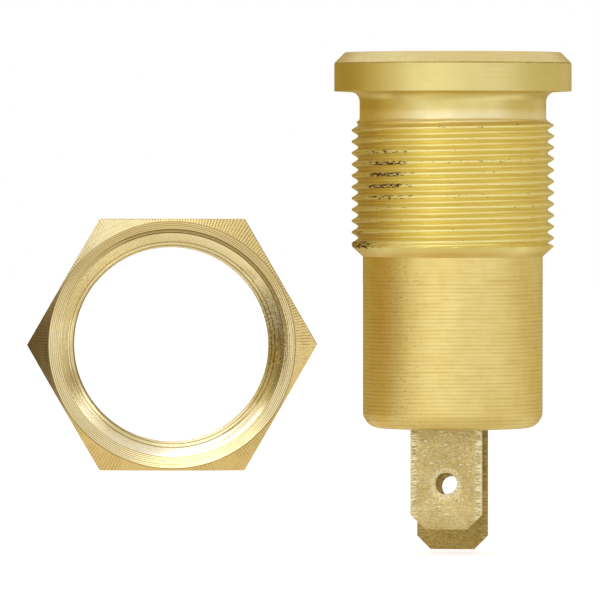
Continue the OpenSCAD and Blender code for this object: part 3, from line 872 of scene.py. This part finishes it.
earth_finish = sheared_brass("earth_tab_finish", (0.74, 0.62, 0.32, 1), (0.50, 0.385, 0.155, 1),
                             (0.95, 0.88, 0.62, 1), -34.5)
# Painted shade: the live tab stands behind the earth tab, so its finish is a darker, browner copy of the same brass.
live_shaded_finish = sheared_brass("live_tab_shaded_finish", (0.49, 0.36, 0.125, 1), (0.26, 0.175, 0.045, 1),
                            (0.52, 0.40, 0.18, 1), -35.2)
live_blade = make_live_tab(live_shaded_finish)
earth_blade = make_earth_tab(earth_finish)

# %% [markdown]
# ## Parts inside the bore
# The moulding, the washer and the centre contact sit deep in the tube, where their solids already
# have the right shape. They keep their meshes and get their own finishes: glossy moulded plastic
# with a faint flow pattern, fibre board with a papery grain, and a smoother spring brass.


# %% Moulding, fibre and contact finishes
def plain_shader(name):
    finish = bpy.data.materials.new(name)
    finish.use_nodes = True
    nodes = Nodes(finish.node_tree)
    shader = finish.node_tree.nodes["Principled BSDF"]
    coords = nodes.add("ShaderNodeTexCoord").outputs["Object"]
    place = nodes.add("ShaderNodeMapping", {"Vector": coords, "Scale": (1 / MM, 1 / MM, 1 / MM)})
    return finish, nodes, shader, place.outputs["Vector"]


def black_moulding():
    finish, nodes, shader, place = plain_shader("black_moulding_finish")
    flow = nodes.noise(place, 0.6, 4)
    grain = nodes.noise(place, 9, 3)
    nodes.feed(shader.inputs["Base Color"], nodes.mix(flow, (0.012, 0.011, 0.010, 1), (0.028, 0.025, 0.022, 1)))
    nodes.feed(shader.inputs["Roughness"], nodes.span(flow, 0.3, 0.7, 0.26, 0.42))
    nodes.feed(shader.inputs["Normal"], nodes.bump(grain, 0.004))
    return finish


def brown_fibre():
    finish, nodes, shader, place = plain_shader("brown_fibre_finish")
    grain = nodes.noise(nodes.vector("MULTIPLY", place, (1, 5, 1)), 2.4, 5, 0.7)
    fleck = nodes.noise(place, 7, 4, 0.7)
    colour = nodes.mix(grain, (0.105, 0.042, 0.018, 1), (0.215, 0.10, 0.045, 1))
    colour = nodes.mix(nodes.span(fleck, 0.6, 0.72, 0, 0.4), colour, (0.32, 0.19, 0.10, 1))
    nodes.feed(shader.inputs["Base Color"], colour)
    nodes.feed(shader.inputs["Roughness"], nodes.span(grain, 0.3, 0.7, 0.55, 0.75))
    nodes.feed(shader.inputs["Normal"], nodes.bump(nodes.math("ADD", grain, fleck), 0.012))
    return finish


def contact_brass():
    finish, nodes, shader, place = brass("contact_brass_finish", 0.24, 0.3)
    radius, height, turn = cylinder_terms(nodes, place)
    cloud = nodes.noise(place, 1.1, 4)
    nodes.feed(shader.inputs["Base Color"], nodes.mix(nodes.span(cloud, 0.35, 0.7), BRASS, BRASS_DEEP))
    nodes.feed(shader.inputs["Roughness"], nodes.span(cloud, 0.3, 0.7, 0.2, 0.32))
    nodes.feed(shader.inputs["Normal"], nodes.bump(feed_lines(nodes, height, turn, 0.1), 0.0006))
    return finish


def make_washer(finish):
    """The fibre disc: a rim and a slot, filled between, made thick, with its edges broken."""
    bm = bmesh.new()
    bottom = -28.2
    bmesh.ops.create_circle(bm, segments=96, radius=WASHER_R, cap_ends=False,
                            matrix=Matrix.Translation((0, 0, bottom)))
    half = TAB_W / 2 + 0.1
    corners = [(TAB_DRIFT - half, 3.5), (TAB_DRIFT + half, 3.5), (TAB_DRIFT + half, 4.5), (TAB_DRIFT - half, 4.5)]
    slot = [bm.verts.new((x, y, bottom)) for x, y in corners]
    for index in range(4):
        bm.edges.new((slot[index], slot[(index + 1) % 4]))
    bmesh.ops.bevel(bm, geom=slot, offset=0.2, offset_type="OFFSET", segments=4, profile=0.5,
                    affect="VERTICES", clamp_overlap=False, material=-1)
    bmesh.ops.triangle_fill(bm, edges=bm.edges[:], use_beauty=True, use_dissolve=False, normal=(0, 0, 1))
    made = bmesh.ops.extrude_face_region(bm, geom=bm.faces[:])
    raised = [item for item in made["geom"] if isinstance(item, bmesh.types.BMVert)]
    bmesh.ops.translate(bm, verts=raised, vec=(0, 0, WASHER_T))
    bmesh.ops.recalc_face_normals(bm, faces=bm.faces)
    rims = [edge for edge in bm.edges if edge.calc_face_angle(0) > math.radians(60)]
    bmesh.ops.bevel(bm, geom=rims, offset=0.05, offset_type="OFFSET", segments=2, profile=0.5,
                    affect="EDGES", clamp_overlap=True, material=-1)
    return close_piece(bm, "fibre_washer", finish, "brown_fibre", "insulating_washer")


def dress(node, finish):
    """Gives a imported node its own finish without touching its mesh."""
    node_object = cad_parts[node]
    if not node_object.material_slots:
        node_object.data.materials.append(finish)
    for slot in node_object.material_slots:
        slot.material = finish
    print(node, "gets", finish.name)


dress("insulator", black_moulding())
dress("centre_contact", contact_brass())
washer = make_washer(brown_fibre())

# %% [markdown]
# ## Colour management
# Standard view transform keeps colours as they are written.

# %% Finish
scene = bpy.context.scene
scene.view_settings.view_transform = "Standard"
